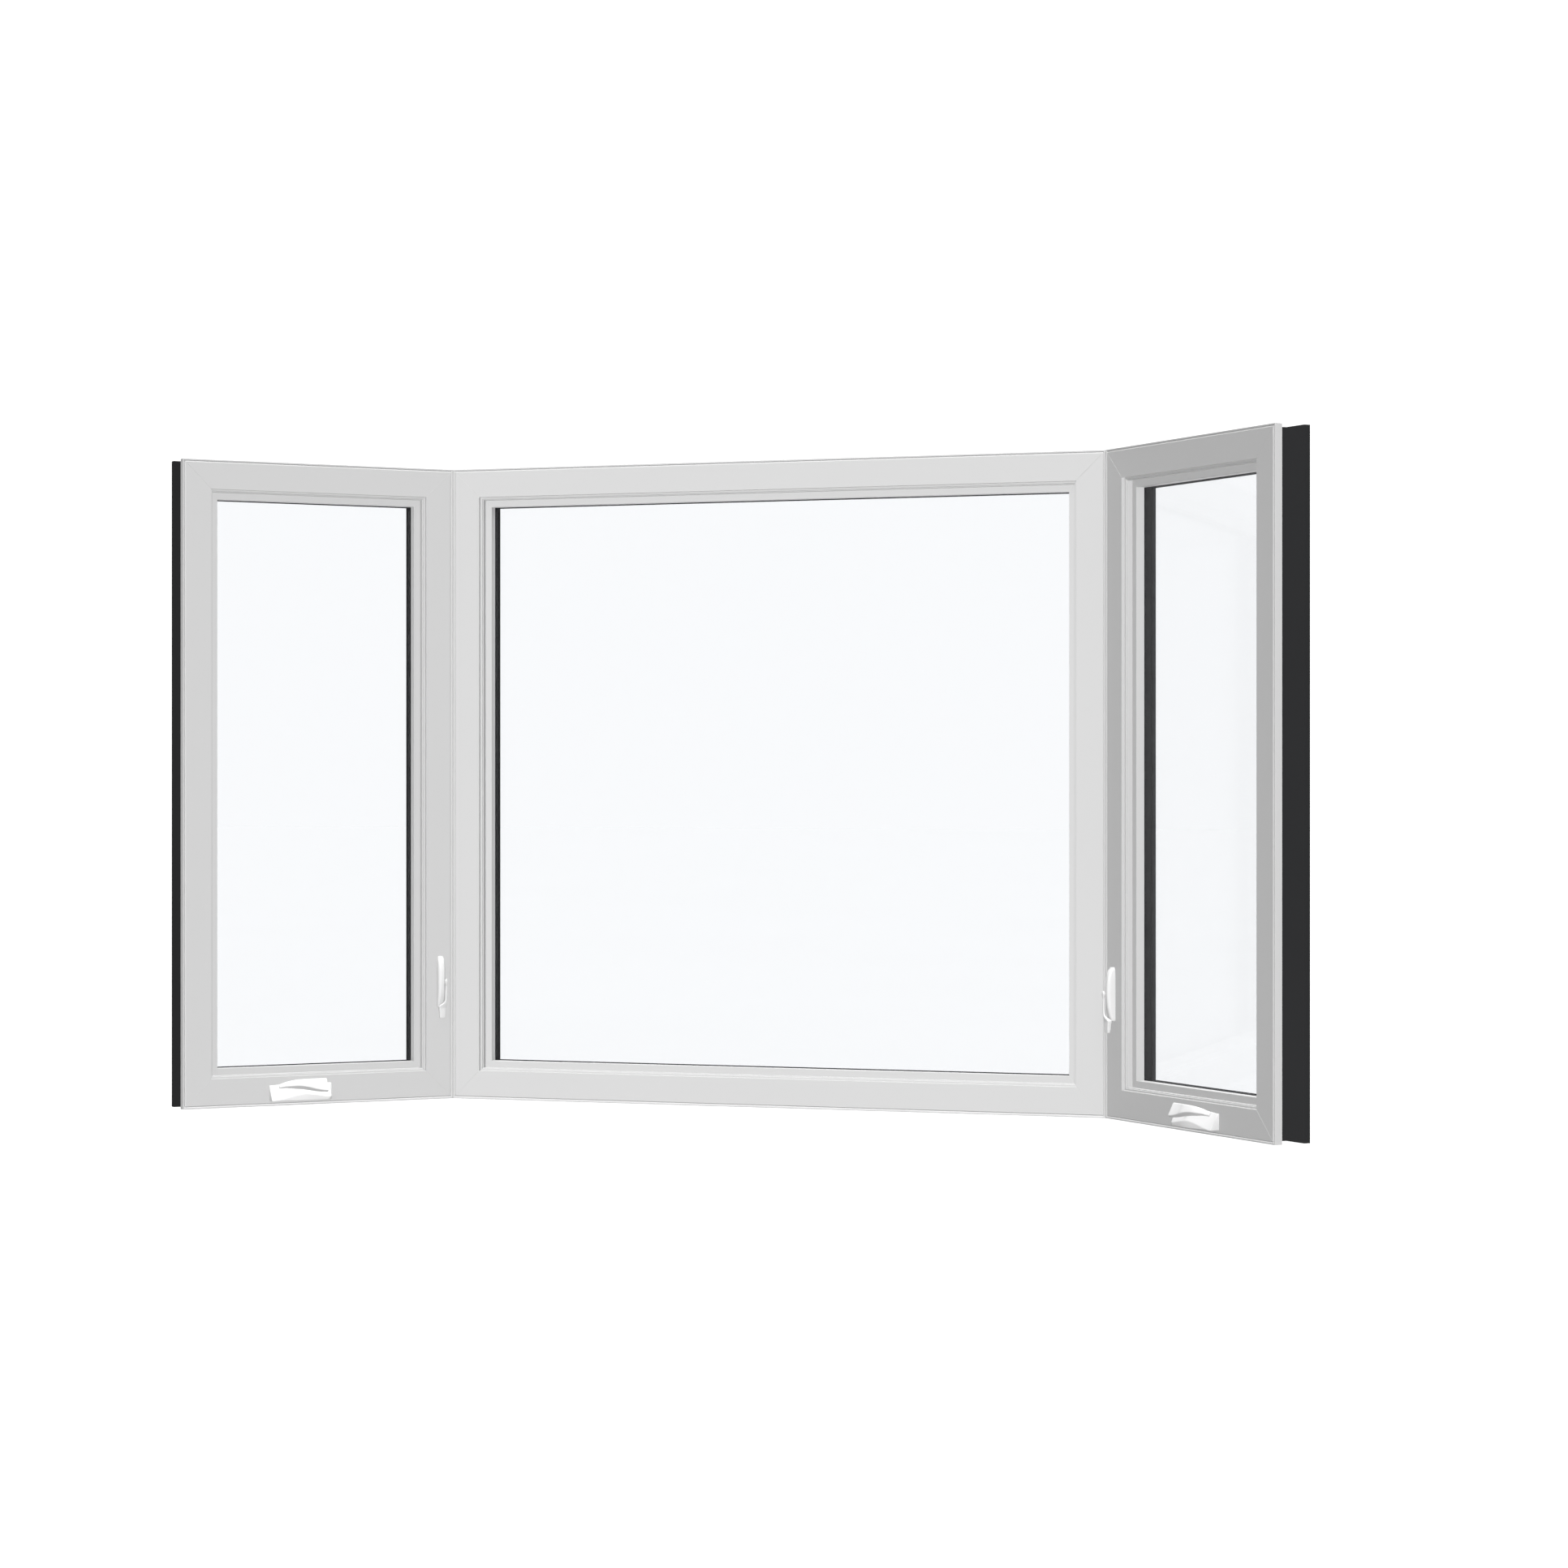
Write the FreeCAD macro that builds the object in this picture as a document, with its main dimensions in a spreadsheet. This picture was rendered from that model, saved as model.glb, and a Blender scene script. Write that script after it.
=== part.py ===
"""Three-unit bay window: a fixed centre light between two crank-operated casements.

The row frame has +X to the right as seen from the room, +Y towards the outdoors and
+Z up. The origin is the bottom centre of the whole window. Millimetres throughout.

Each unit is described in its own two directions. "Inward" is measured from the unit's
outer edge towards its glass, and "deep" from its room face towards the outdoors.
"""
import FreeCAD, Part
import math
import os
import Sketcher

Vector = FreeCAD.Vector
UP = Vector(0, 0, 1)
# A sketch's own axes, as its constraints number them.
LEVEL_AXIS = -1
UPRIGHT_AXIS = -2

# Driving dimensions: name, value and what it measures.
SIZES = (
    ("unit_height", 1219.2, "height of every unit"),
    ("center_width", 1295, "width of the fixed centre unit"),
    ("flank_width", 540, "width of each casement unit"),
    ("bay_angle", 45, "degrees that each casement turns back from the centre"),
    ("frame_depth", 72, "room face to outdoor face"),
    ("flange_depth", 15, "thickness of the white room flange"),
    ("rim_land", 2.5, "flat land at the flange's outer edge"),
    ("rim_slope", 1.5, "width of each side of the V groove beside that land"),
    ("rim_groove", 1.5, "depth of that V groove"),
    ("face_width", 55, "outer edge to the first step of the room face"),
    ("lip_one_width", 3.5, "width of the first step"),
    ("lip_one_step", 6.5, "depth of the first step"),
    ("lip_two_width", 1.8, "width of the second step"),
    ("lip_two_step", 2.5, "depth of the second step below the first"),
    ("sash_reveal", 12.7, "sash width that shows beside the glass"),
    ("sash_step", 11, "second step back to the sash face"),
    ("glass_step", 17, "sash face back to the glass"),
    ("shell_width", 42, "outer edge to the outdoor shell's inner edge"),
    ("shell_inset", 5.5, "accessory groove's depth in the shell's outer edge"),
    ("shell_groove", 12, "length of that groove behind the flange"),
    ("shell_band", 12, "flat band at the shell's outdoor edge"),
    ("mullion_start", 2, "corner that two units share to the mullion's narrow end"),
    ("sash_gap", 3, "running gap between shell and sash"),
    ("pane_thickness", 3, "one sheet of glass"),
    ("air_space", 12, "gap between the two sheets"),
    ("glass_bite", 11, "glass edge that the sash covers"),
    ("glass_clearance", 1, "setting gap around the glass edge"),
    ("spacer_width", 8, "width of the edge spacer between the sheets"),
    ("spacer_show", 0.5, "edge spacer that shows past the sash"),
    ("bead_depth", 9, "thickness of the outdoor glazing stop"),
    ("crank_length", 118, "length of the crank's cover"),
    ("crank_height", 31, "height of the crank's cover"),
    ("crank_depth", 25, "cover's reach into the room at its foot"),
    ("crank_top", 10, "cover's reach into the room at its top"),
    ("crank_skirt", 9, "upright band at the cover's foot"),
    ("crank_base", 10, "floor to the cover's foot"),
    ("crank_from_end", 228, "casement's outer end to the crank's middle"),
    ("handle_length", 91, "length of the folded crank handle"),
    ("handle_width", 18, "handle's width down the cover's slope"),
    ("handle_thickness", 7, "thickness of the handle's arm"),
    ("handle_shift", 0.5, "handle's middle towards the centre unit"),
    ("knob_length", 30, "length of the handle's thick end"),
    ("knob_thickness", 11, "thickness of the handle's thick end"),
    ("lock_width", 13, "width of the lock's housing"),
    ("lock_height", 94, "height of the lock's housing"),
    ("lock_base", 183, "floor to the housing's foot"),
    ("lock_end", 6, "housing's reach into the room at its ends"),
    ("lock_seat", 10, "housing's reach at the flat that carries the lever"),
    ("seat_low", 36, "housing's foot to the flat's lower end"),
    ("seat_height", 20, "height of that flat"),
    ("lock_from_edge", 27, "casement's inner edge to the lock's middle"),
    ("lever_width", 11, "width of the lock's lever"),
    ("lever_reach", 17, "lever's furthest reach into the room"),
    ("lever_thickness", 4, "thickness of the lever's arm"),
    ("lever_drop", 22, "lever's tip below the housing's foot"),
    ("lever_tip", 14, "lever tip's reach into the room"),
    ("tip_height", 16, "height of the lever's straight tip"),
)

# Inward and deep places that several pieces share, as sums of the sizes above.
RIM_BOTTOM = "rim_land + rim_slope"
RIM_EDGE = RIM_BOTTOM + " + rim_slope"
LIP_ONE_EDGE = "face_width + lip_one_width"
LIP_TWO_EDGE = LIP_ONE_EDGE + " + lip_two_width"
SIGHT_EDGE = LIP_TWO_EDGE + " + sash_reveal"
SASH_EDGE = "shell_width + sash_gap"
PANE_EDGE = SIGHT_EDGE + " - glass_bite"
POCKET_EDGE = PANE_EDGE + " - glass_clearance"
LIP_TWO_DEEP = "lip_one_step + lip_two_step"
SASH_DEEP = LIP_TWO_DEEP + " + sash_step"
GLASS_DEEP = SASH_DEEP + " + glass_step"
OUTER_PANE_DEEP = GLASS_DEEP + " + pane_thickness + air_space"
BEAD_DEEP = OUTER_PANE_DEEP + " + pane_thickness"
SASH_BACK = BEAD_DEEP + " + bead_depth"

# Cross-sections as (inward, deep) corners.
FRAME_SECTION = (
    ("0", "0"),
    ("rim_land", "0"),
    (RIM_BOTTOM, "rim_groove"),
    (RIM_EDGE, "0"),
    ("face_width", "0"),
    ("face_width", "lip_one_step"),
    (LIP_ONE_EDGE, "lip_one_step"),
    (LIP_ONE_EDGE, LIP_TWO_DEEP),
    (LIP_TWO_EDGE, LIP_TWO_DEEP),
    (LIP_TWO_EDGE, SASH_DEEP),
    ("shell_width", SASH_DEEP),
    ("shell_width", "flange_depth"),
    ("0", "flange_depth"),
)
SHELL_SECTION = (
    ("shell_inset", "flange_depth"),
    ("shell_inset", "flange_depth + shell_groove"),
    ("0", "frame_depth - shell_band"),
    ("0", "frame_depth"),
    ("shell_width", "frame_depth"),
    ("shell_width", "flange_depth"),
)
SASH_SECTION = (
    (SASH_EDGE, SASH_DEEP),
    (SIGHT_EDGE, SASH_DEEP),
    (SIGHT_EDGE, GLASS_DEEP),
    (SASH_EDGE, GLASS_DEEP),
)
STOP_SECTION = (
    (SASH_EDGE, GLASS_DEEP),
    (POCKET_EDGE, GLASS_DEEP),
    (POCKET_EDGE, BEAD_DEEP),
    (SIGHT_EDGE, BEAD_DEEP),
    (SIGHT_EDGE, SASH_BACK),
    (SASH_EDGE, SASH_BACK),
)

doc = FreeCAD.newDocument("bay_window")
sheet = doc.addObject("Spreadsheet::Sheet", "sizes")
for row, (name, number, note) in enumerate(SIZES, start=1):
    sheet.set(f"A{row}", str(number))
    sheet.setAlias(f"A{row}", name)
    sheet.set(f"B{row}", note)
doc.recompute()

nodes = []


def amount(text):
    """The number that a sum of sizes comes to."""
    total = 0.0
    sign = 1
    for word in text.split():
        if word in ("+", "-"):
            sign = 1 if word == "+" else -1
        else:
            total += sign * (float(word) if word[0].isdigit() else getattr(sheet, word))
    return total


def bound(text):
    """The same sum as an expression on the spreadsheet."""
    return " ".join(word if word in ("+", "-") or word[0].isdigit() else f"sizes.{word}"
                    for word in text.split())


def less(text, edge):
    """One sum of sizes less another."""
    flipped = [{"+": "-", "-": "+"}.get(word, word) for word in edge.split()]
    return text + " - " + " ".join(flipped)


def less_twice(text, edge):
    return less(less(text, edge), edge)


def keep(piece, label):
    """Name a finished sub-part, whose label names its file."""
    piece.Label = label
    nodes.append(piece)


def origin_plane(body, role):
    return next(plane for plane in body.Origin.OriginFeatures if plane.Role == role)


def outline(body, name, role, loops):
    """A sketch of closed loops whose corners are sums of sizes."""
    sketch = body.newObject("Sketcher::SketchObject", name)
    sketch.AttachmentSupport = [(origin_plane(body, role), "")]
    sketch.MapMode = "FlatFace"
    for corners in loops:
        add_loop(sketch, corners)
    return sketch


def add_loop(sketch, corners):
    points = [Vector(amount(across), amount(up), 0) for across, up in corners]
    first = sketch.GeometryCount
    count = len(points)
    for index, point in enumerate(points):
        sketch.addGeometry(Part.LineSegment(point, points[(index + 1) % count]), False)
    for index, (across, up) in enumerate(corners):
        edge = first + index
        after = first + (index + 1) % count
        sketch.addConstraint(Sketcher.Constraint("Coincident", edge, 2, after, 1))
        pin_corner(sketch, edge, "DistanceX", across, UPRIGHT_AXIS)
        pin_corner(sketch, edge, "DistanceY", up, LEVEL_AXIS)


def pin_corner(sketch, edge, kind, text, axis):
    """Fix one coordinate of an edge's start, on an axis or at a distance from the origin."""
    if text == "0":
        sketch.addConstraint(Sketcher.Constraint("PointOnObject", edge, 1, axis))
        return
    number = sketch.addConstraint(Sketcher.Constraint(kind, -1, 1, edge, 1, amount(text)))
    sketch.setExpression(f"Constraints[{number}]", bound(text))


def pad(body, name, sketch, length, symmetric=False):
    feature = body.newObject("PartDesign::Pad", name)
    feature.Profile = sketch
    feature.SideType = "Symmetric" if symmetric else "One side"
    feature.Length = amount(length)
    feature.setExpression("Length", bound(length))
    return feature


class Unit:
    """One framed light: where it stands and the directions that it is built along."""

    def __init__(self, name, width, corner, turn):
        self.name = name
        self.width = width
        angle = math.radians(turn)
        self.along = Vector(math.cos(angle), math.sin(angle), 0)
        self.deep = Vector(-math.sin(angle), math.cos(angle), 0)
        self.corner = corner

    def point(self, along, deep, height):
        return self.corner + self.along * along + self.deep * deep + Vector(0, 0, height)

    def placed(self, base, first, second):
        """A placement at base whose own X and Y point along first and second."""
        return FreeCAD.Placement(base, FreeCAD.Rotation(first, second, first.cross(second), "XYZ"))


def bars(unit):
    """The four bars of a rectangle: name, length, start corner, run and inward way."""
    width = amount(unit.width)
    height = amount("unit_height")
    return (
        ("head", unit.width, unit.point(0, 0, height), unit.along, -UP),
        ("sill", unit.width, unit.point(width, 0, 0), -unit.along, UP),
        ("left_jamb", "unit_height", unit.point(0, 0, 0), UP, unit.along),
        ("right_jamb", "unit_height", unit.point(width, 0, height), -UP, -unit.along),
    )


def mitred_bar(unit, name, section, length, start, run, inward):
    """A bar of one cross-section whose ends are mitred at the unit's corners."""
    body = doc.addObject("PartDesign::Body", name)
    profile = outline(body, name + "_section", "YZ_Plane", (section,))
    pad(body, name + "_bar", profile, length)
    reach = SIGHT_EDGE
    corners = (
        (("0", "0"), (reach, reach), ("0", reach)),
        ((length, "0"), (length, reach), (less(length, reach), reach)),
    )
    mitre = outline(body, name + "_mitre", "XY_Plane", corners)
    doc.recompute()
    uncut = body.Shape.Volume
    pocket = body.newObject("PartDesign::Pocket", name + "_ends")
    pocket.Profile = mitre
    pocket.Type = "ThroughAll"
    pocket.SideType = "Symmetric"
    doc.recompute()
    if not body.Shape.Volume < uncut:
        raise RuntimeError(f"the mitres of {name} cut nothing")
    body.Placement = unit.placed(start, run, inward)
    return body


def frame_bars(unit):
    """The white room frame: four bars, each a sub-part."""
    for place, length, start, run, inward in bars(unit):
        label = f"{unit.name}_frame_{place}"
        keep(mitred_bar(unit, label, FRAME_SECTION, length, start, run, inward), label)


def paired_bars(unit, part, section, rails, stiles):
    """Rails as one sub-part and stiles as another, each of two bars that don't touch."""
    made = {}
    for place, length, start, run, inward in bars(unit):
        name = f"{unit.name}_{part}_{place}_bar"
        made[place] = mitred_bar(unit, name, section, length, start, run, inward)
    for label, places in ((rails, ("head", "sill")), (stiles, ("left_jamb", "right_jamb"))):
        pair = doc.addObject("Part::Compound", f"{unit.name}_{label}")
        pair.Links = [made[place] for place in places]
        keep(pair, f"{unit.name}_{label}")


def box(name, length, width, height, base, turned):
    """A block standing on its unit: along, deep and up."""
    block = doc.addObject("Part::Box", name)
    for side, text in (("Length", length), ("Width", width), ("Height", height)):
        block.setExpression(side, bound(text))
    block.Placement = turned
    block.Placement.Base = base
    return block


def glazing(unit):
    """Two sheets of glass, and the edge spacer that holds them apart."""
    turned = unit.placed(Vector(), unit.along, unit.deep)
    wide = less_twice(unit.width, PANE_EDGE)
    high = less_twice("unit_height", PANE_EDGE)
    panes = doc.addObject("Part::Compound", f"{unit.name}_glass")
    sheets = []
    for side, deep in (("room", GLASS_DEEP), ("outdoor", OUTER_PANE_DEEP)):
        base = unit.point(amount(PANE_EDGE), amount(deep), amount(PANE_EDGE))
        sheets.append(box(f"{unit.name}_{side}_pane", wide, "pane_thickness", high, base, turned))
    panes.Links = sheets
    keep(panes, f"{unit.name}_glass")

    inner_edge = SIGHT_EDGE + " + spacer_show"
    outer_edge = inner_edge + " - spacer_width"
    deep = amount(GLASS_DEEP + " + pane_thickness")
    blocks = []
    for side, edge in (("outer", outer_edge), ("inner", inner_edge)):
        base = unit.point(amount(edge), deep, amount(edge))
        blocks.append(box(f"{unit.name}_spacer_{side}", less_twice(unit.width, edge), "air_space",
                          less_twice("unit_height", edge), base, turned))
    ring = doc.addObject("Part::Cut", f"{unit.name}_spacer")
    ring.Base, ring.Tool = blocks
    keep(ring, f"{unit.name}_spacer")


def mullion(label, unit_before, unit_after):
    """The wedge post that fills the angle between two units, apex towards the room."""
    body = doc.addObject("PartDesign::Body", label)
    sketch = body.newObject("Sketcher::SketchObject", label + "_plan")
    sketch.AttachmentSupport = [(origin_plane(body, "XY_Plane"), "")]
    sketch.MapMode = "FlatFace"
    half = math.radians(amount("bay_angle") / 2)
    start = "mullion_start"
    reaches = ((start, -1), (start, 1), ("frame_depth", 1), ("frame_depth", -1))
    points = [Vector(side * amount(reach) * math.sin(half), amount(reach) * math.cos(half), 0)
              for reach, side in reaches]
    for index, point in enumerate(points):
        sketch.addGeometry(Part.LineSegment(point, points[(index + 1) % 4]), False)
    for index, (reach, side) in enumerate(reaches):
        sketch.addConstraint(Sketcher.Constraint("Coincident", index, 2, (index + 1) % 4, 1))
        ends = (-1, 1, index, 1) if side > 0 else (index, 1, -1, 1)
        across = sketch.addConstraint(Sketcher.Constraint(
            "DistanceX", *ends, amount(reach) * math.sin(half)))
        sketch.setExpression(f"Constraints[{across}]",
                             f"sizes.{reach} * sin(sizes.bay_angle / 2 * 1 deg)")
        back = sketch.addConstraint(Sketcher.Constraint(
            "DistanceY", -1, 1, index, 1, amount(reach) * math.cos(half)))
        sketch.setExpression(f"Constraints[{back}]",
                             f"sizes.{reach} * cos(sizes.bay_angle / 2 * 1 deg)")
    pad(body, label + "_post", sketch, "unit_height")
    bisector = (unit_before.deep + unit_after.deep).normalize()
    body.Placement = unit_after.placed(unit_after.corner, bisector.cross(UP), bisector)
    keep(body, label)


def room_placement(unit, along, height):
    """A placement on the room face: own X into the room, own Y up."""
    return unit.placed(unit.point(along, 0, height), -unit.deep, UP)


def crank(unit, side):
    """The sill crank: a wedge cover on the frame and its handle folded on the slope.

    side is the way along the unit that leads to the centre unit.
    """
    middle = amount("crank_from_end")
    along = middle if side > 0 else amount(unit.width) - middle
    cover = doc.addObject("PartDesign::Body", f"{unit.name}_crank_cover")
    section = outline(cover, cover.Name + "_section", "XY_Plane", ((
        ("0", "0"),
        ("crank_depth", "0"),
        ("crank_depth", "crank_skirt"),
        ("crank_top", "crank_height"),
        ("0", "crank_height"),
    ),))
    pad(cover, cover.Name + "_wedge", section, "crank_length", symmetric=True)
    cover.Placement = room_placement(unit, along, amount("crank_base"))
    keep(cover, cover.Name)

    # The handle is drawn flat on the slope: own X down the slope, own Y out from it.
    top = Vector(amount("crank_top"), amount("crank_height"), 0)
    foot = Vector(amount("crank_depth"), amount("crank_skirt"), 0)
    slope = foot - top
    handle = doc.addObject("PartDesign::Body", f"{unit.name}_crank_handle")
    for part, length, thickness in (("arm", "handle_length", "handle_thickness"),
                                    ("knob", "knob_length", "knob_thickness")):
        profile = outline(handle, f"{handle.Name}_{part}_section", "XY_Plane", ((
            ("0", "0"), ("handle_width", "0"), ("handle_width", thickness), ("0", thickness),
        ),))
        if part == "knob":
            way = "" if side < 0 else "-"
            profile.setExpression("AttachmentOffset.Base.z",
                                  f"{way}(sizes.handle_length - sizes.knob_length) / 2")
        pad(handle, f"{handle.Name}_{part}", profile, length, symmetric=True)
    into_room = -unit.deep
    start = (unit.point(along + side * amount("handle_shift"), 0, amount("crank_base"))
             + into_room * top.x + UP * top.y)
    down = (into_room * slope.x + UP * slope.y).normalize()
    out = (into_room * -slope.y + UP * slope.x).normalize()
    handle.Placement = unit.placed(start, down, out)
    keep(handle, handle.Name)


def lock(unit, side):
    """The jamb lock: a bowed housing and its lever, closed downwards."""
    from_edge = amount("lock_from_edge")
    along = amount(unit.width) - from_edge if side > 0 else from_edge
    seat_top = "seat_low + seat_height"
    housing = doc.addObject("PartDesign::Body", f"{unit.name}_lock_housing")
    section = outline(housing, housing.Name + "_section", "XY_Plane", ((
        ("0", "0"),
        ("lock_end", "0"),
        ("lock_seat", "seat_low"),
        ("lock_seat", seat_top),
        ("lock_end", "lock_height"),
        ("0", "lock_height"),
    ),))
    pad(housing, housing.Name + "_block", section, "lock_width", symmetric=True)
    housing.Placement = room_placement(unit, along, amount("lock_base"))
    keep(housing, housing.Name)

    # The lever is drawn from its tip up, so its own origin is below the housing.
    lever = doc.addObject("PartDesign::Body", f"{unit.name}_lock_lever")
    low = "lever_drop + seat_low"
    high = "lever_drop + seat_low + seat_height"
    profile = outline(lever, lever.Name + "_section", "XY_Plane", ((
        ("lever_tip - lever_thickness", "0"),
        ("lever_tip", "0"),
        ("lever_tip", "tip_height"),
        ("lever_reach", low),
        ("lever_reach - lever_thickness", high),
        ("lock_seat", high),
        ("lock_seat", low),
        ("lever_reach - lever_thickness", low + " - lever_thickness"),
        ("lever_tip - lever_thickness", "tip_height"),
    ),))
    pad(lever, lever.Name + "_arm", profile, "lever_width", symmetric=True)
    lever.Placement = room_placement(unit, along, amount("lock_base - lever_drop"))
    keep(lever, lever.Name)


turn = amount("bay_angle")
half_width = amount("center_width") / 2
swing = Vector(math.cos(math.radians(turn)), math.sin(math.radians(turn)), 0)
run_back = amount("flank_width") * swing.y
# The whole window reaches from the casements' outer room corners to the centre's
# outdoor face, and the origin is midway between the two.
room_plane = (run_back - amount("frame_depth")) / 2
left_joint = Vector(-half_width, room_plane, 0)
right_joint = Vector(half_width, room_plane, 0)
left = Unit("left", "flank_width", left_joint - swing * amount("flank_width"), turn)
center = Unit("center", "center_width", left_joint, 0)
right = Unit("right", "flank_width", right_joint, -turn)

for light in (left, center, right):
    frame_bars(light)
    paired_bars(light, "shell", SHELL_SECTION, "shell_rails", "shell_jambs")
    paired_bars(light, "sash", SASH_SECTION, "sash_rails", "sash_stiles")
    paired_bars(light, "stop", STOP_SECTION, "stop_rails", "stop_stiles")
    glazing(light)
mullion("left_mullion", left, center)
mullion("right_mullion", center, right)
for light, towards_center in ((left, 1), (right, -1)):
    crank(light, towards_center)
    lock(light, towards_center)

doc.recompute()
for item in doc.Objects:
    if "Invalid" in item.State or "Error" in item.State:
        raise RuntimeError(f"{item.Label} failed: {item.State}")
for piece in nodes:
    if piece.Shape.isNull() or not piece.Shape.isValid():
        raise RuntimeError(f"{piece.Label} has no valid shape")
os.makedirs("parts", exist_ok=True)
for piece in nodes:
    piece.Shape.exportStep(os.path.join("parts", piece.Label + ".step"))
print(len(nodes), "sub-parts written")
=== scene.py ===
"""Looks for the bay window: materials, modelled hardware, seals, soft studio light and camera."""

import math

import bmesh
import bpy
from mathutils import Matrix, Vector


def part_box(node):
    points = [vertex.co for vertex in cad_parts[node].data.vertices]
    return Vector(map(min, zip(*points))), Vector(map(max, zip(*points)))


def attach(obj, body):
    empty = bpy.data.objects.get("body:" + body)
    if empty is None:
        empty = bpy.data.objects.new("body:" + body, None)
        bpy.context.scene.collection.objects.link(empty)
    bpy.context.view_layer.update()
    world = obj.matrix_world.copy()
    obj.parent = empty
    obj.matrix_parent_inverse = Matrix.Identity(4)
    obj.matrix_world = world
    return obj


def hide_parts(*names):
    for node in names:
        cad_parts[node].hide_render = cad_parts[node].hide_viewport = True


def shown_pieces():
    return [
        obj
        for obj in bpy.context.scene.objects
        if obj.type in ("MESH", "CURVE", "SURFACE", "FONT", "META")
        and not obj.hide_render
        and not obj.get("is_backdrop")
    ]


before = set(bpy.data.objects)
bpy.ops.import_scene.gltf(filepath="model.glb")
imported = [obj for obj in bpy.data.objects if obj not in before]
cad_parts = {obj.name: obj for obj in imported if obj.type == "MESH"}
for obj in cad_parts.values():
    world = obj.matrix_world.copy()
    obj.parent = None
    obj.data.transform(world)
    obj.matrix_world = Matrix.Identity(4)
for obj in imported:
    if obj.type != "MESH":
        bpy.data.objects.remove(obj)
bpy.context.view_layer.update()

MM = 0.001

# ---------------------------------------------------------------- places, from the CAD
center_low, center_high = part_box("center_frame_head")
flank_low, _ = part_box("left_frame_head")
HALF = center_high.x
ROOM_Y = center_low.y
HEIGHT = center_high.z
TURN = math.radians(45)
FLANK = (ROOM_Y - flank_low.y) / math.sin(TURN)
SIGHT = 73 * MM  # unit edge to the edge of the visible glass
SHELL_IN = 42 * MM  # unit edge to the shell's inner edge
SASH_OUT = 45 * MM  # unit edge to the sash's outer edge
GLASS_BACK = 55 * MM  # room face to the outer pane's outdoor face
STOP_BACK = 64 * MM  # room face to the glazing stop's outdoor face


class Unit:
    """One framed light. Its own X runs along it, Y goes outdoors and Z is up."""

    def __init__(self, name, corner, turn, width, side):
        self.name = name
        self.turn = turn
        self.width = width
        self.side = side
        self.matrix = Matrix.Translation(corner) @ Matrix.Rotation(turn, 4, "Z")

    def hardware_point(self, from_end, reach, height):
        """from_end is measured from the outer end, reach goes into the room."""
        along = from_end if self.side > 0 else self.width - from_end
        return self.matrix @ Vector((along, -reach, height))


left_foot = Vector((-HALF - FLANK * math.cos(TURN), ROOM_Y - FLANK * math.sin(TURN), 0))
UNITS = (
    Unit("left", left_foot, TURN, FLANK, 1),
    Unit("center", Vector((-HALF, ROOM_Y, 0)), 0.0, 2 * HALF, 0),
    Unit("right", Vector((HALF, ROOM_Y, 0)), -TURN, FLANK, -1),
)
BY_NAME = {unit.name: unit for unit in UNITS}


# ---------------------------------------------------------------- materials
def link(tree, source, target):
    tree.links.new(source, target)


def noise(tree, vector, scale, detail=2.0):
    node = tree.nodes.new("ShaderNodeTexNoise")
    node.inputs["Scale"].default_value = scale
    node.inputs["Detail"].default_value = detail
    link(tree, vector, node.inputs["Vector"])
    return node.outputs["Fac"]


NOISE_LOW = 0.3  # most of a noise's values lie between these two
NOISE_HIGH = 0.7


def spread(tree, value, low, high):
    """Maps a noise's middle range onto low to high."""
    node = tree.nodes.new("ShaderNodeMapRange")
    node.inputs["From Min"].default_value = NOISE_LOW
    node.inputs["From Max"].default_value = NOISE_HIGH
    node.inputs["To Min"].default_value = low
    node.inputs["To Max"].default_value = high
    link(tree, value, node.inputs["Value"])
    return node.outputs["Result"]


def two_tone(tree, value, first, second):
    """Colours a noise from first to second over its middle range."""
    node = tree.nodes.new("ShaderNodeValToRGB")
    node.color_ramp.elements[0].position = NOISE_LOW
    node.color_ramp.elements[1].position = NOISE_HIGH
    node.color_ramp.elements[0].color = (*first, 1)
    node.color_ramp.elements[1].color = (*second, 1)
    link(tree, value, node.inputs["Fac"])
    return node.outputs["Color"]


BUMP_DISTANCE = 0.2 * MM


def bump(tree, height, strength, before=None):
    node = tree.nodes.new("ShaderNodeBump")
    node.inputs["Strength"].default_value = strength
    node.inputs["Distance"].default_value = BUMP_DISTANCE
    link(tree, height, node.inputs["Height"])
    if before is not None:
        link(tree, before, node.inputs["Normal"])
    return node.outputs["Normal"]


def mapped(tree, vector, rotation=(0, 0, 0), scale=(1, 1, 1)):
    node = tree.nodes.new("ShaderNodeMapping")
    node.inputs["Rotation"].default_value = rotation
    node.inputs["Scale"].default_value = scale
    link(tree, vector, node.inputs["Vector"])
    return node.outputs["Vector"]


def start_material(name):
    made = bpy.data.materials.new(name)
    made.use_nodes = True
    tree = made.node_tree
    shader = tree.nodes["Principled BSDF"]
    place = tree.nodes.new("ShaderNodeTexCoord").outputs["Object"]
    return made, tree, shader, place


MOTTLE_SCALE = 3.0  # a noise's scale is its waves per metre
PATCH_SCALE = 17.0
PATCH_ROUGHNESS = 0.03  # the roughness strays this much either way
DRAW_LINE_SCALE = 420.0
DRAW_LINE_STRETCH = 0.01
DRAW_LINE_BUMP = 0.05


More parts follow.
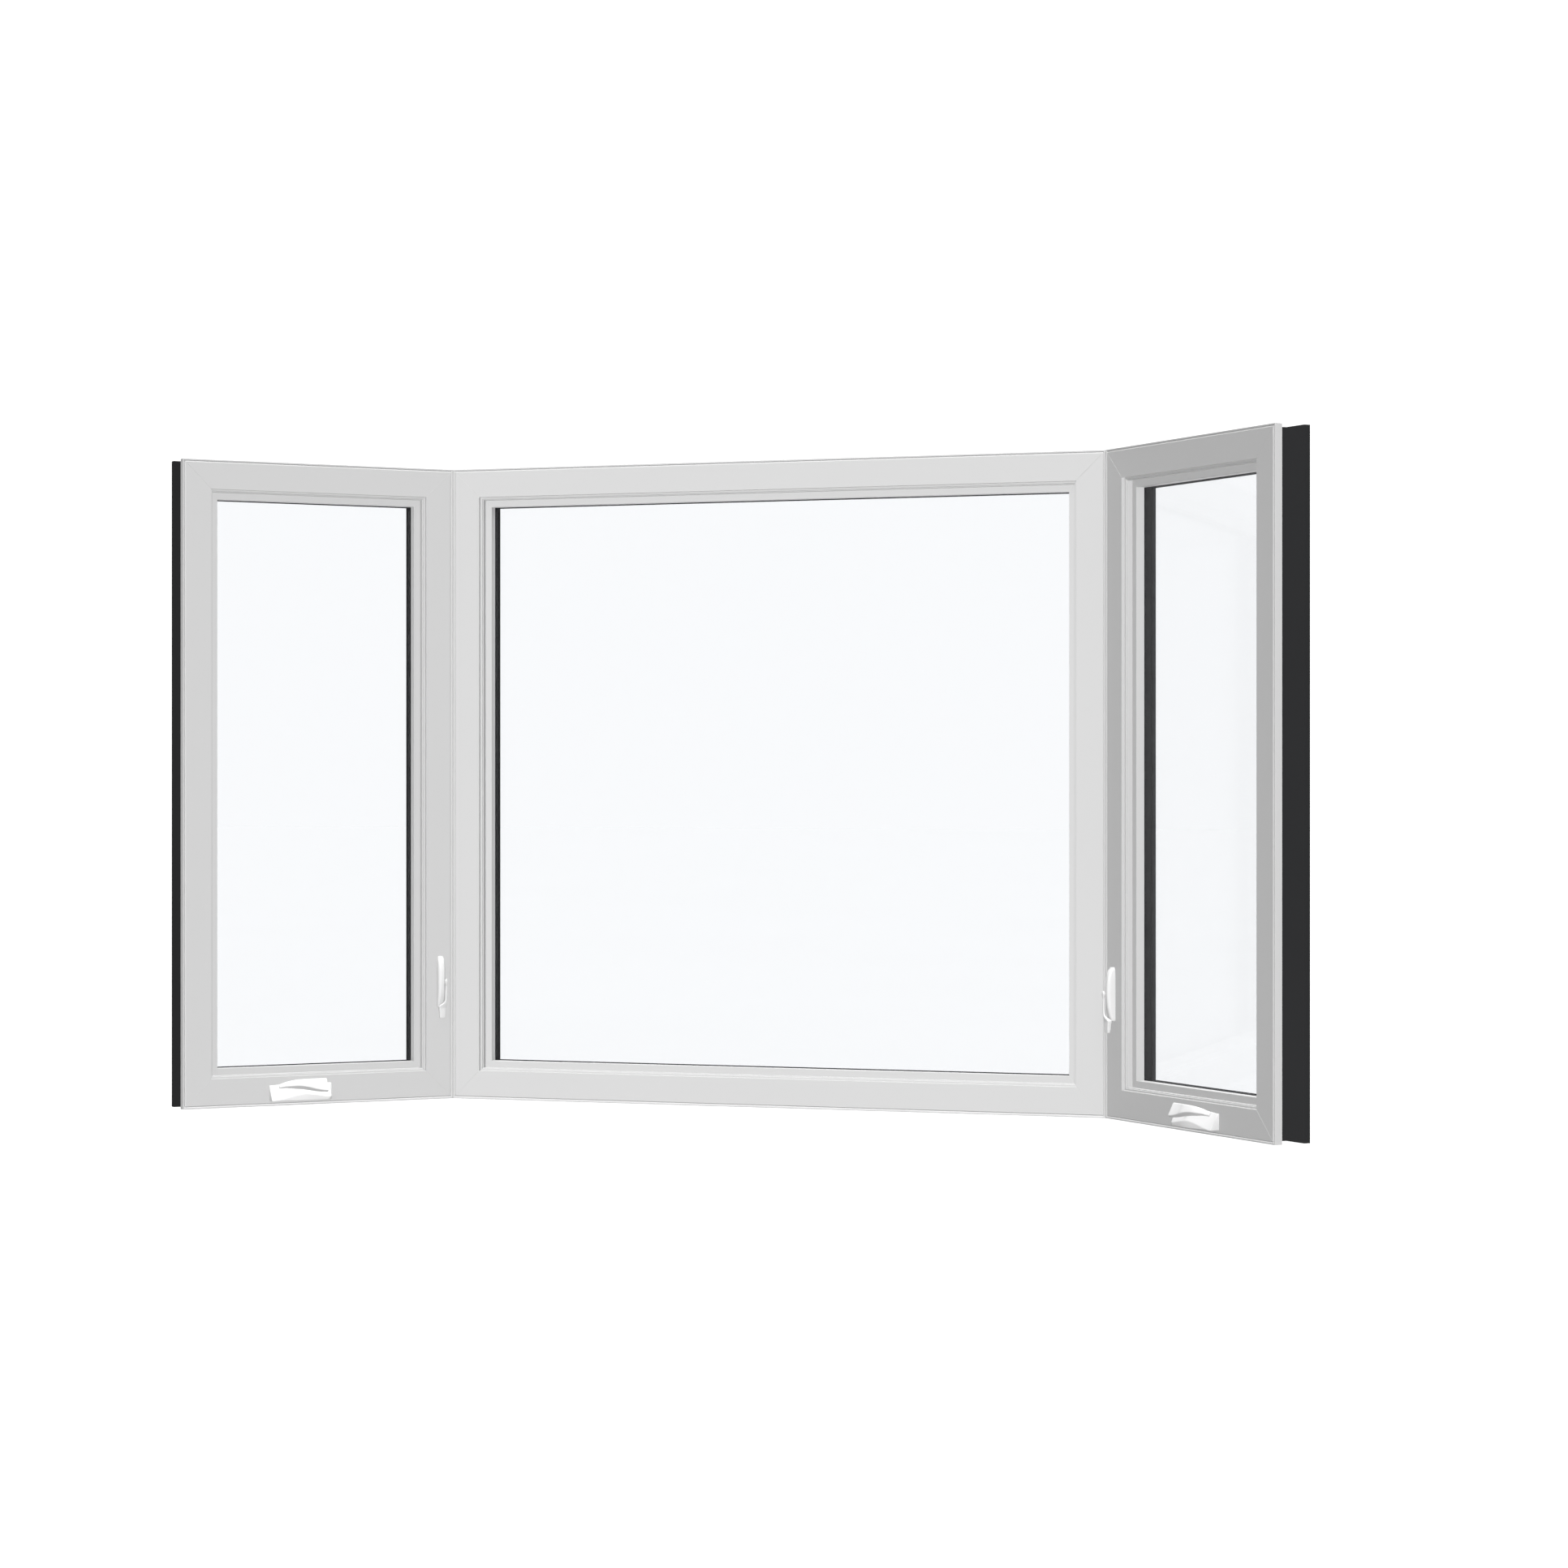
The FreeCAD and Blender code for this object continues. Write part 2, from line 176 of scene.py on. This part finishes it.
def finish_of(name, color, shade, rough, specular, grain, grain_bump, turn=0.0, length_axis=None):
    """A moulded or extruded finish: faint mottling, fine grain and, on a bar, draw lines.

    color varies down to color * shade. length_axis is the bar's own axis that the draw
    lines follow, after a turn about Z.
    """
    made, tree, shader, place = start_material(name)
    darker = tuple(c * shade for c in color)
    mottle = noise(tree, place, MOTTLE_SCALE, detail=3.0)
    link(tree, two_tone(tree, mottle, darker, color), shader.inputs["Base Color"])
    patches = noise(tree, place, PATCH_SCALE)
    varied = spread(tree, patches, rough - PATCH_ROUGHNESS, rough + PATCH_ROUGHNESS)
    link(tree, varied, shader.inputs["Roughness"])
    shader.inputs["Specular IOR Level"].default_value = specular
    fine = bump(tree, noise(tree, place, grain), grain_bump)
    if length_axis is not None:
        squeeze = [1.0, 1.0, 1.0]
        squeeze[length_axis] = DRAW_LINE_STRETCH
        straight = mapped(tree, place, rotation=(0, 0, -turn))
        drawn = mapped(tree, straight, scale=squeeze)
        lines = noise(tree, drawn, DRAW_LINE_SCALE, detail=1.0)
        fine = bump(tree, lines, DRAW_LINE_BUMP, fine)
    link(tree, fine, shader.inputs["Normal"])
    return made


ROOM_WHITE = (0.74, 0.74, 0.74)
HARDWARE_WHITE = (0.95, 0.95, 0.95)
CHARCOAL = (0.03, 0.0305, 0.032)
STOP_GREY = (0.048, 0.048, 0.051)
SPACER_BLACK = (0.017, 0.017, 0.0185)
RUBBER = (0.02, 0.02, 0.021)
# Colour, its darkest share, roughness, specular level, grain scale and grain bump.
FINISHES = {
    "room_vinyl": (ROOM_WHITE, 0.988, 0.42, 0.3, 1500.0, 0.04),
    "charcoal": (CHARCOAL, 0.9, 0.6, 0.25, 1100.0, 0.12),
    "stop_charcoal": (STOP_GREY, 0.92, 0.6, 0.2, 1100.0, 0.12),
    "spacer": (SPACER_BLACK, 0.9, 0.65, 0.15, 1400.0, 0.1),
    "white_enamel": (HARDWARE_WHITE, 0.99, 0.24, 0.5, 900.0, 0.02),
    "seal_rubber": (RUBBER, 0.85, 0.75, 0.2, 800.0, 0.15),
}
bar_finishes = {}


def bar_finish(kind, unit, length_axis):
    """The finish of one kind of bar, drawn along that axis of its unit. Made once each."""
    key = f"{kind}_{unit.name}_{'rail' if length_axis == 0 else 'jamb'}"
    if key not in bar_finishes:
        bar_finishes[key] = finish_of(
            key, *FINISHES[kind], turn=unit.turn, length_axis=length_axis
        )
    return bar_finishes[key]


GLASS_TINT = (0.868, 0.874, 0.882, 1)
GLASS_IOR = 1.2  # below real glass, so that the white backdrop's reflections stay faint
HAZE_SCALE = 1.5
HAZE_ROUGHNESS = 0.012
RIPPLE_SCALE = 2.2
RIPPLE_BUMP = 0.02


def glass_material():
    made, tree, shader, place = start_material("clear_glass")
    shader.inputs["Base Color"].default_value = GLASS_TINT
    shader.inputs["Transmission Weight"].default_value = 1.0
    shader.inputs["IOR"].default_value = GLASS_IOR
    haze = noise(tree, place, HAZE_SCALE)
    link(tree, spread(tree, haze, 0.0, HAZE_ROUGHNESS), shader.inputs["Roughness"])
    ripple = noise(tree, place, RIPPLE_SCALE, detail=0.0)
    link(tree, bump(tree, ripple, RIPPLE_BUMP), shader.inputs["Normal"])
    return made


enamel = finish_of("white_enamel", *FINISHES["white_enamel"])
rubber = finish_of("seal_rubber", *FINISHES["seal_rubber"])
glass = glass_material()

RAIL_WORDS = ("head", "sill", "rails")
KINDS = (
    ("frame", "room_vinyl"),
    ("sash", "room_vinyl"),
    ("shell", "charcoal"),
    ("stop", "stop_charcoal"),
    ("mullion", "charcoal"),
    ("spacer", "spacer"),
)


WELD_DISTANCE = 0.005 * MM
SOFT_EDGE = 0.35 * MM
SOFT_EDGE_ANGLE = math.radians(25)


def soften(piece, width, segments=2):
    """Rounds a CAD or built piece's sharp edges, by modifiers only."""
    weld = piece.modifiers.new("weld", "WELD")
    weld.merge_threshold = WELD_DISTANCE
    edge = piece.modifiers.new("edges", "BEVEL")
    edge.width = width
    edge.segments = segments
    edge.limit_method = "ANGLE"
    edge.angle_limit = SOFT_EDGE_ANGLE
    normals = piece.modifiers.new("normals", "WEIGHTED_NORMAL")
    normals.weight = 100


def dress(name, node):
    """Gives one CAD node its finish."""
    words = name.split("_")
    unit = BY_NAME[words[0]]
    node.data.materials.clear()
    if "glass" in words:
        node.data.materials.append(glass)
        node.visible_shadow = False
        return
    if "crank" in words or "lock" in words:
        node.data.materials.append(enamel)
        return
    kind = next(finish for word, finish in KINDS if word in words)
    axis = 0 if any(word in words for word in RAIL_WORDS) else 2
    node.data.materials.append(bar_finish(kind, unit, axis))
    if kind != "spacer":
        soften(node, SOFT_EDGE)


for node_name, cad_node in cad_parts.items():
    dress(node_name, cad_node)


# ---------------------------------------------------------------- mesh building
def rounded(corners, radii, steps=3):
    """A closed outline whose corners are rounded. Each corner gives steps + 1 points."""
    count = len(corners)
    points = []
    for index, corner in enumerate(corners):
        before = corners[index - 1]
        after = corners[(index + 1) % count]
        to_before = before - corner
        to_after = after - corner
        radius = min(radii[index], 0.45 * to_before.length, 0.45 * to_after.length)
        start = corner + to_before.normalized() * radius
        end = corner + to_after.normalized() * radius
        for step in range(steps + 1):
            t = step / steps
            points.append(start * (1 - t) ** 2 + corner * (2 * t * (1 - t)) + end * t ** 2)
    return points


def shrunk(points, amount):
    """The outline drawn in towards its middle by about amount."""
    middle = sum(points, Vector((0, 0))) / len(points)
    size = sum((p - middle).length for p in points) / len(points)
    factor = max(0.05, 1 - amount / size)
    return [middle + (p - middle) * factor for p in points]


def with_round_ends(stations, radius, steps=4):
    """Adds shrinking outlines at both ends of (position, outline) stations."""
    first_at, first = stations[0]
    last_at, last = stations[-1]
    way = 1 if last_at > first_at else -1
    start, end = [], []
    for step in range(steps):
        angle = math.pi / 2 * (step + 0.35) / steps
        inset = radius * (1 - math.sin(angle))
        back = radius * math.cos(angle)
        start.append((first_at - way * back, shrunk(first, inset)))
        end.insert(0, (last_at + way * back, shrunk(last, inset)))
    return start + list(stations) + end


def ramp(t, start, end):
    """0 up to start, 1 from end on, and a smooth rise between them."""
    t = min(1.0, max(0.0, (t - start) / (end - start)))
    return t * t * (3 - 2 * t)


def spline(rows, at):
    """Smooth interpolation of rows (position, values...) at a position."""
    count = len(rows)
    index = max(0, min(count - 2, sum(1 for row in rows[1:-1] if row[0] <= at)))
    low, high = rows[index], rows[index + 1]
    before = rows[max(0, index - 1)]
    after = rows[min(count - 1, index + 2)]
    span = high[0] - low[0]
    t = min(1.0, max(0.0, (at - low[0]) / span))
    values = []
    for k in range(1, len(low)):
        slope_low = (high[k] - before[k]) / max(1e-9, high[0] - before[0]) * span
        slope_high = (after[k] - low[k]) / max(1e-9, after[0] - low[0]) * span
        values.append(
            (2 * t**3 - 3 * t**2 + 1) * low[k]
            + (t**3 - 2 * t**2 + t) * slope_low
            + (-2 * t**3 + 3 * t**2) * high[k]
            + (t**3 - t**2) * slope_high
        )
    return values


def add_piece(name, rings, material, closed_ends=True):
    """A closed skin through rings of points, as a piece that rides on the window."""
    bm = bmesh.new()
    made = [[bm.verts.new(point) for point in ring] for ring in rings]
    count = len(made[0])
    pairs = list(zip(made, made[1:]))
    if not closed_ends:
        pairs.append((made[-1], made[0]))
    for low, high in pairs:
        for index in range(count):
            after = (index + 1) % count
            bm.faces.new((low[index], low[after], high[after], high[index]))
    if closed_ends:
        for ring in (made[0], made[-1]):
            bmesh.ops.triangulate(bm, faces=[bm.faces.new(ring)])
    bmesh.ops.recalc_face_normals(bm, faces=bm.faces)
    for face in bm.faces:
        face.smooth = True
    mesh = bpy.data.meshes.new(name)
    bm.to_mesh(mesh)
    bm.free()
    mesh.materials.append(material)
    piece = bpy.data.objects.new(name, mesh)
    bpy.context.scene.collection.objects.link(piece)
    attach(piece, "root")
    return piece


def split_normals(piece, degrees):
    """Keeps edges sharper than an angle crisp in the shading."""
    piece.data.set_sharp_from_angle(angle=math.radians(degrees))


# ---------------------------------------------------------------- sill crank
# All hardware sizes are in mm. A reach goes from the frame's face into the room.
CRANK_MIDDLE = 228  # from the unit's outer end
CRANK_LENGTH = 118
CRANK_FOOT = 10  # height of the cover's foot above the sill's underside
CRANK_SLICES = 60
HANDLE_SLICES = 48
COVER_ROUND = 0.8
HANDLE_ROUND = 1.6
# The cover's values at its outer end, and what they gain towards the centre.
COVER_DEPTH = 19
DEPTH_GAIN = 8
TOP_REACH = 3
TOP_REACH_GAIN = 9
COVER_TOP = 29
TOP_GAIN = 2
COVER_SKIRT = 0.9
SKIRT_RISE = 11.6
SKIRT_FALL = 6.5
SCOOP_DEPTH = 4.0
SCOOP_WAY = Vector((0.83, 0.55))
# The last tenth turns back to the frame, and its foot lifts.
CORNER_SHARE = 0.1
CORNER_BACK = 9
CORNER_LIFT = 4.5


def cover_outline(t):
    """The crank cover's (reach, height) outline, t from its outer end to the centre."""
    corner = max(0.0, (t - (1 - CORNER_SHARE)) / CORNER_SHARE)
    rounding = 1 - math.sqrt(max(0.0, 1 - corner * corner))
    depth = COVER_DEPTH + DEPTH_GAIN * ramp(t, 0.1, 0.7) - CORNER_BACK * rounding
    foot = CORNER_LIFT * rounding
    top_reach = TOP_REACH + TOP_REACH_GAIN * ramp(t, 0, 0.5)
    top = COVER_TOP + TOP_GAIN * ramp(t, 0, 0.3)
    skirt = COVER_SKIRT + SKIRT_RISE * ramp(t, 0, 0.55) - SKIRT_FALL * ramp(t, 0.55, 1)
    scoop = SCOOP_DEPTH * ramp(t, 0.56, 0.7) * (1 - ramp(t, 0.93, 0.99))
    middle = (Vector((depth, skirt)) + Vector((top_reach, top))) / 2 - SCOOP_WAY * scoop
    corners = [
        Vector((0, foot)),
        Vector((depth, foot)),
        Vector((depth, skirt)),
        middle,
        Vector((top_reach, top)),
        Vector((0, top)),
    ]
    return rounded(corners, (0.1, 1.2, 1.6, 7.0, 2.2, 0.1), steps=5)


# The folded handle's outline by its place along the cover: outer top, outer bottom,
# inner bottom and inner top, each as reach and height.
HANDLE_ROWS = (
    (18, 9, 32, 12, 24.5, 7, 22, 3, 29),
    (28, 14.5, 36.5, 18.5, 27, 12, 23, 7, 31.5),
    (40, 22, 40, 26.5, 28.3, 18, 22, 10, 33),
    (54, 26.5, 41.7, 31.5, 28.3, 22, 21, 13, 34),
    (68, 28, 42.2, 35, 25.8, 26, 19, 14, 34.5),
    (80, 26, 42.2, 36, 22.5, 29, 17, 15, 35),
    (92, 25.5, 42.2, 37, 20, 31.5, 15.5, 17, 36),
    (103, 26, 42.2, 38, 18.5, 33.5, 15, 19, 36.5),
)


def crank_rings(unit, stations):
    rings = []
    for at, outline in stations:
        from_end = CRANK_MIDDLE - CRANK_LENGTH / 2 + at
        rings.append([
            unit.hardware_point(from_end * MM, p.x * MM, (CRANK_FOOT + p.y) * MM) for p in outline
        ])
    return rings


def build_crank(unit):
    stations = []
    for index in range(CRANK_SLICES + 1):
        t = index / CRANK_SLICES
        stations.append((t * CRANK_LENGTH, cover_outline(t)))
    cover = add_piece(
        f"{unit.name}_crank_cover_shell",
        crank_rings(unit, with_round_ends(stations, COVER_ROUND)),
        enamel,
    )
    split_normals(cover, degrees=30)
    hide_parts(f"{unit.name}_crank_cover")

    stations = []
    first, last = HANDLE_ROWS[0][0], HANDLE_ROWS[-1][0]
    for index in range(HANDLE_SLICES + 1):
        at = first + (last - first) * index / HANDLE_SLICES
        row = spline(HANDLE_ROWS, at)
        corners = [Vector((row[k], row[k + 1])) for k in (0, 2, 4, 6)]
        stations.append((at, rounded(corners, (3.0, 2.2, 2.0, 2.0), steps=5)))
    handle = add_piece(
        f"{unit.name}_crank_handle_grip",
        crank_rings(unit, with_round_ends(stations, HANDLE_ROUND)),
        enamel,
    )
    split_normals(handle, degrees=40)
    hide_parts(f"{unit.name}_crank_handle")


# ---------------------------------------------------------------- jamb lock
LOCK_FROM_EDGE = 27  # the housing's middle, from the unit's edge at the centre unit
HOUSING_SLICES = 40
LEVER_SLICES = 56
HOUSING_ROUND = 1.6
LEVER_ROUND = 1.2
LEVER_CORNER = 1.4
SHOULDER_SHARE = 0.72  # of the reach, where the housing's sides start to turn in
FRONT_SHARE = 0.58  # of the half width, where its bowed front begins
# Housing by height: half width, reach of its bowed front.
HOUSING_ROWS = (
    (180, 6.8, 7.4),
    (184, 7.0, 9.2),
    (192, 7.0, 11.6),
    (206, 7.0, 14.2),
    (228, 7.0, 15.6),
    (250, 7.0, 14.8),
    (264, 6.8, 12.4),
    (271, 6.2, 9.6),
    (275, 5.0, 6.4),
)
# Lever by height: from and to across (towards the centre unit), inner and outer reach.
LEVER_ROWS = (
    (158.6, -5.0, 5.9, 9.8, 15.2),
    (162, -5.4, 6.1, 9.2, 15.5),
    (170, -5.9, 6.3, 8.2, 15.7),
    (177, -6.6, 6.6, 7.2, 16.0),
    (180.5, -6.4, 6.8, 7.8, 16.8),
    (183.5, -2.5, 7.2, 10.4, 17.6),
    (187, 1.8, 7.6, 13.4, 18.2),
    (192, 4.2, 8.0, 15.2, 18.6),
    (208, 5.0, 8.2, 15.8, 18.8),
    (220, 5.2, 8.1, 15.6, 18.6),
    (224, 4.4, 8.8, 14.8, 19.2),
    (228.5, 4.0, 9.2, 14.2, 19.6),
    (232, 4.8, 8.4, 15.0, 19.0),
)


def lock_rings(unit, stations):
    rings = []
    for height, outline in stations:
        rings.append([
            unit.hardware_point(unit.width - (LOCK_FROM_EDGE - p.x) * MM, p.y * MM, height * MM)
            for p in outline
        ])
    return rings


def build_lock(unit):
    low, high = HOUSING_ROWS[0][0], HOUSING_ROWS[-1][0]
    stations = []
    for index in range(HOUSING_SLICES + 1):
        height = low + (high - low) * index / HOUSING_SLICES
        half, reach = spline(HOUSING_ROWS, height)
        corners = [
            Vector((-half, 0)),
            Vector((-half, reach * SHOULDER_SHARE)),
            Vector((-half * FRONT_SHARE, reach)),
            Vector((half * FRONT_SHARE, reach)),
            Vector((half, reach * SHOULDER_SHARE)),
            Vector((half, 0)),
        ]
        stations.append((height, rounded(corners, (0.1, 2.0, 2.4, 2.4, 2.0, 0.1), steps=5)))
    housing = add_piece(
        f"{unit.name}_lock_housing_shell",
        lock_rings(unit, with_round_ends(stations, HOUSING_ROUND)),
        enamel,
    )
    split_normals(housing, degrees=50)
    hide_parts(f"{unit.name}_lock_housing")

    low, high = LEVER_ROWS[0][0], LEVER_ROWS[-1][0]
    stations = []
    for index in range(LEVER_SLICES + 1):
        height = low + (high - low) * index / LEVER_SLICES
        near, far, inner, outer = spline(LEVER_ROWS, height)
        corners = [
            Vector((near, inner)),
            Vector((near, outer)),
            Vector((far, outer)),
            Vector((far, inner)),
        ]
        stations.append((height, rounded(corners, (LEVER_CORNER,) * 4, steps=4)))
    lever = add_piece(
        f"{unit.name}_lock_lever_arm",
        lock_rings(unit, with_round_ends(stations, LEVER_ROUND)),
        enamel,
    )
    split_normals(lever, degrees=45)
    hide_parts(f"{unit.name}_lock_lever")


for casement in (BY_NAME["left"], BY_NAME["right"]):
    build_crank(casement)
    build_lock(casement)


# ---------------------------------------------------------------- seals
SEAL_EDGE = 0.4 * MM
SEAL_BITE = 0.3 * MM  # into the pieces at both sides
SEAL_PRESS = 0.05 * MM  # into the glass
GLAZING_HIDDEN = 0.6 * MM
GLAZING_SHOWN = 0.4 * MM
GLAZING_SEAL_DEPTH = 2.4 * MM
SASH_SEAL_FRONT = 7 * MM  # room side of the stop's outdoor face
SASH_SEAL_BACK = 2 * MM


def seal(unit, part, outer, inner, front, back):
    """A rubber ring round one light: outer and inner insets from the unit's edges."""
    rings = []
    for across, up in ((0, 0), (1, 0), (1, 1), (0, 1)):
        ring = []
        for inset, deep in ((outer, front), (inner, front), (inner, back), (outer, back)):
            along = inset if across == 0 else unit.width - inset
            height = inset if up == 0 else HEIGHT - inset
            ring.append(unit.matrix @ Vector((along, deep, height)))
        rings.append(ring)
    piece = add_piece(f"{unit.name}_{part}", rings, rubber, closed_ends=False)
    soften(piece, SEAL_EDGE, segments=3)


for light in UNITS:
    seal(light, "glazing_seal", SIGHT - GLAZING_HIDDEN, SIGHT + GLAZING_SHOWN,
         GLASS_BACK - SEAL_PRESS, GLASS_BACK + GLAZING_SEAL_DEPTH)
    seal(light, "sash_seal", SHELL_IN - SEAL_BITE, SASH_OUT + SEAL_BITE,
         STOP_BACK - SASH_SEAL_FRONT, STOP_BACK - SASH_SEAL_BACK)


# ---------------------------------------------------------------- stage, light, camera
FLOOR_HALF = 40.0
FLOOR_DROP = 0.4 * MM  # under the window's foot, so that the two never share a plane
FLOOR_DARK = (0.49, 0.49, 0.49)
FLOOR_PALE = (0.5, 0.5, 0.5)
FLOOR_PATCHES = 0.8
FLOOR_GLOW = 0.62


def build_floor():
    """A large pale sheet that glows up to the backdrop's white and doesn't light the window."""
    bm = bmesh.new()
    corners = ((-1, -1), (1, -1), (1, 1), (-1, 1))
    bm.faces.new([
        bm.verts.new((x * FLOOR_HALF, y * FLOOR_HALF, -FLOOR_DROP)) for x, y in corners
    ])
    mesh = bpy.data.meshes.new("floor")
    bm.to_mesh(mesh)
    bm.free()
    floor = bpy.data.objects.new("floor", mesh)
    bpy.context.scene.collection.objects.link(floor)
    made, tree, shader, place = start_material("pale_floor")
    pale = two_tone(tree, noise(tree, place, FLOOR_PATCHES), FLOOR_DARK, FLOOR_PALE)
    link(tree, pale, shader.inputs["Base Color"])
    shader.inputs["Roughness"].default_value = 0.9
    shader.inputs["Specular IOR Level"].default_value = 0.0
    shader.inputs["Emission Color"].default_value = (1, 1, 1, 1)
    shader.inputs["Emission Strength"].default_value = FLOOR_GLOW
    mesh.materials.append(made)
    floor.visible_diffuse = False
    floor.visible_glossy = False
    floor.visible_shadow = False
    floor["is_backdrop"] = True


# The backdrop's strength as seen by the camera, by diffuse rays and in reflections.
BACKDROP_SEEN = 1.27
BACKDROP_AMBIENT = 0.085
BACKDROP_MIRRORED = 0.08


def build_world():
    """A white backdrop whose light on the window is a soft, dim ambient."""
    world = bpy.data.worlds.new("studio")
    bpy.context.scene.world = world
    world.use_nodes = True
    tree = world.node_tree
    background = tree.nodes["Background"]
    background.inputs["Color"].default_value = (1, 1, 1, 1)
    path = tree.nodes.new("ShaderNodeLightPath")
    diffuse = tree.nodes.new("ShaderNodeMath")
    diffuse.operation = "MINIMUM"
    diffuse.inputs[1].default_value = 1.0
    link(tree, path.outputs["Diffuse Depth"], diffuse.inputs[0])
    reflected = tree.nodes.new("ShaderNodeMath")
    reflected.operation = "SUBTRACT"
    reflected.use_clamp = True
    link(tree, path.outputs["Is Glossy Ray"], reflected.inputs[0])
    link(tree, path.outputs["Is Transmission Ray"], reflected.inputs[1])
    for_glossy = tree.nodes.new("ShaderNodeMix")
    for_glossy.inputs[2].default_value = BACKDROP_SEEN
    for_glossy.inputs[3].default_value = BACKDROP_MIRRORED
    link(tree, reflected.outputs[0], for_glossy.inputs[0])
    for_diffuse = tree.nodes.new("ShaderNodeMix")
    link(tree, for_glossy.outputs[0], for_diffuse.inputs[2])
    for_diffuse.inputs[3].default_value = BACKDROP_AMBIENT
    link(tree, diffuse.outputs[0], for_diffuse.inputs[0])
    link(tree, for_diffuse.outputs[0], background.inputs["Strength"])


def sun(name, towards, strength, spread_degrees, shadows=True, highlights=False):
    """A soft studio light that shines from the direction of towards.

    strength is the brightness of a white face square to it, spread_degrees its softness.
    """
    light = bpy.data.lights.new(name, "SUN")
    light.energy = strength * math.pi
    light.angle = math.radians(spread_degrees)
    light.use_shadow = shadows
    lamp = bpy.data.objects.new(name, light)
    lamp.rotation_mode = "QUATERNION"
    lamp.rotation_quaternion = Vector(towards).to_track_quat("Z", "Y")
    lamp.visible_transmission = False
    lamp.visible_glossy = highlights
    bpy.context.scene.collection.objects.link(lamp)


def build_camera():
    data = bpy.data.cameras.new("camera")
    data.lens = 81.06
    data.sensor_width = 36.0
    data.clip_end = 200.0
    camera = bpy.data.objects.new("camera", data)
    camera.location = (*CAMERA_AT, HEIGHT / 2)
    camera.rotation_euler = (math.radians(90), 0, CAMERA_TURN)
    bpy.context.scene.collection.objects.link(camera)
    bpy.context.scene.camera = camera


KEY_FROM = (0.21, -0.865, 0.93)
BACK_FROM = (0.35, 0.8, 0.5)
BACK_STRENGTH = 0.6
UNDER_STRENGTH = 0.44
SHADOW_SHARE = 0.25  # of the key light casts shadows
WIDE = 60  # degrees
NARROW = 40
CAMERA_AT = (2.124, -6.142)
CAMERA_TURN = math.radians(18.4)

build_floor()
build_world()
key_strength = Vector(KEY_FROM).length
sun("key", KEY_FROM, key_strength * (1 - SHADOW_SHARE), NARROW, shadows=False)
sun("key_soft", KEY_FROM, key_strength * SHADOW_SHARE, WIDE, highlights=True)
sun("back", BACK_FROM, BACK_STRENGTH, WIDE)
sun("under", (0, 0, -1), UNDER_STRENGTH, WIDE, shadows=False)
build_camera()
# The window's pieces don't bounce light onto each other, as in an even studio light.
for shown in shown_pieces():
    shown.visible_diffuse = False
bpy.context.scene.view_settings.view_transform = "Standard"
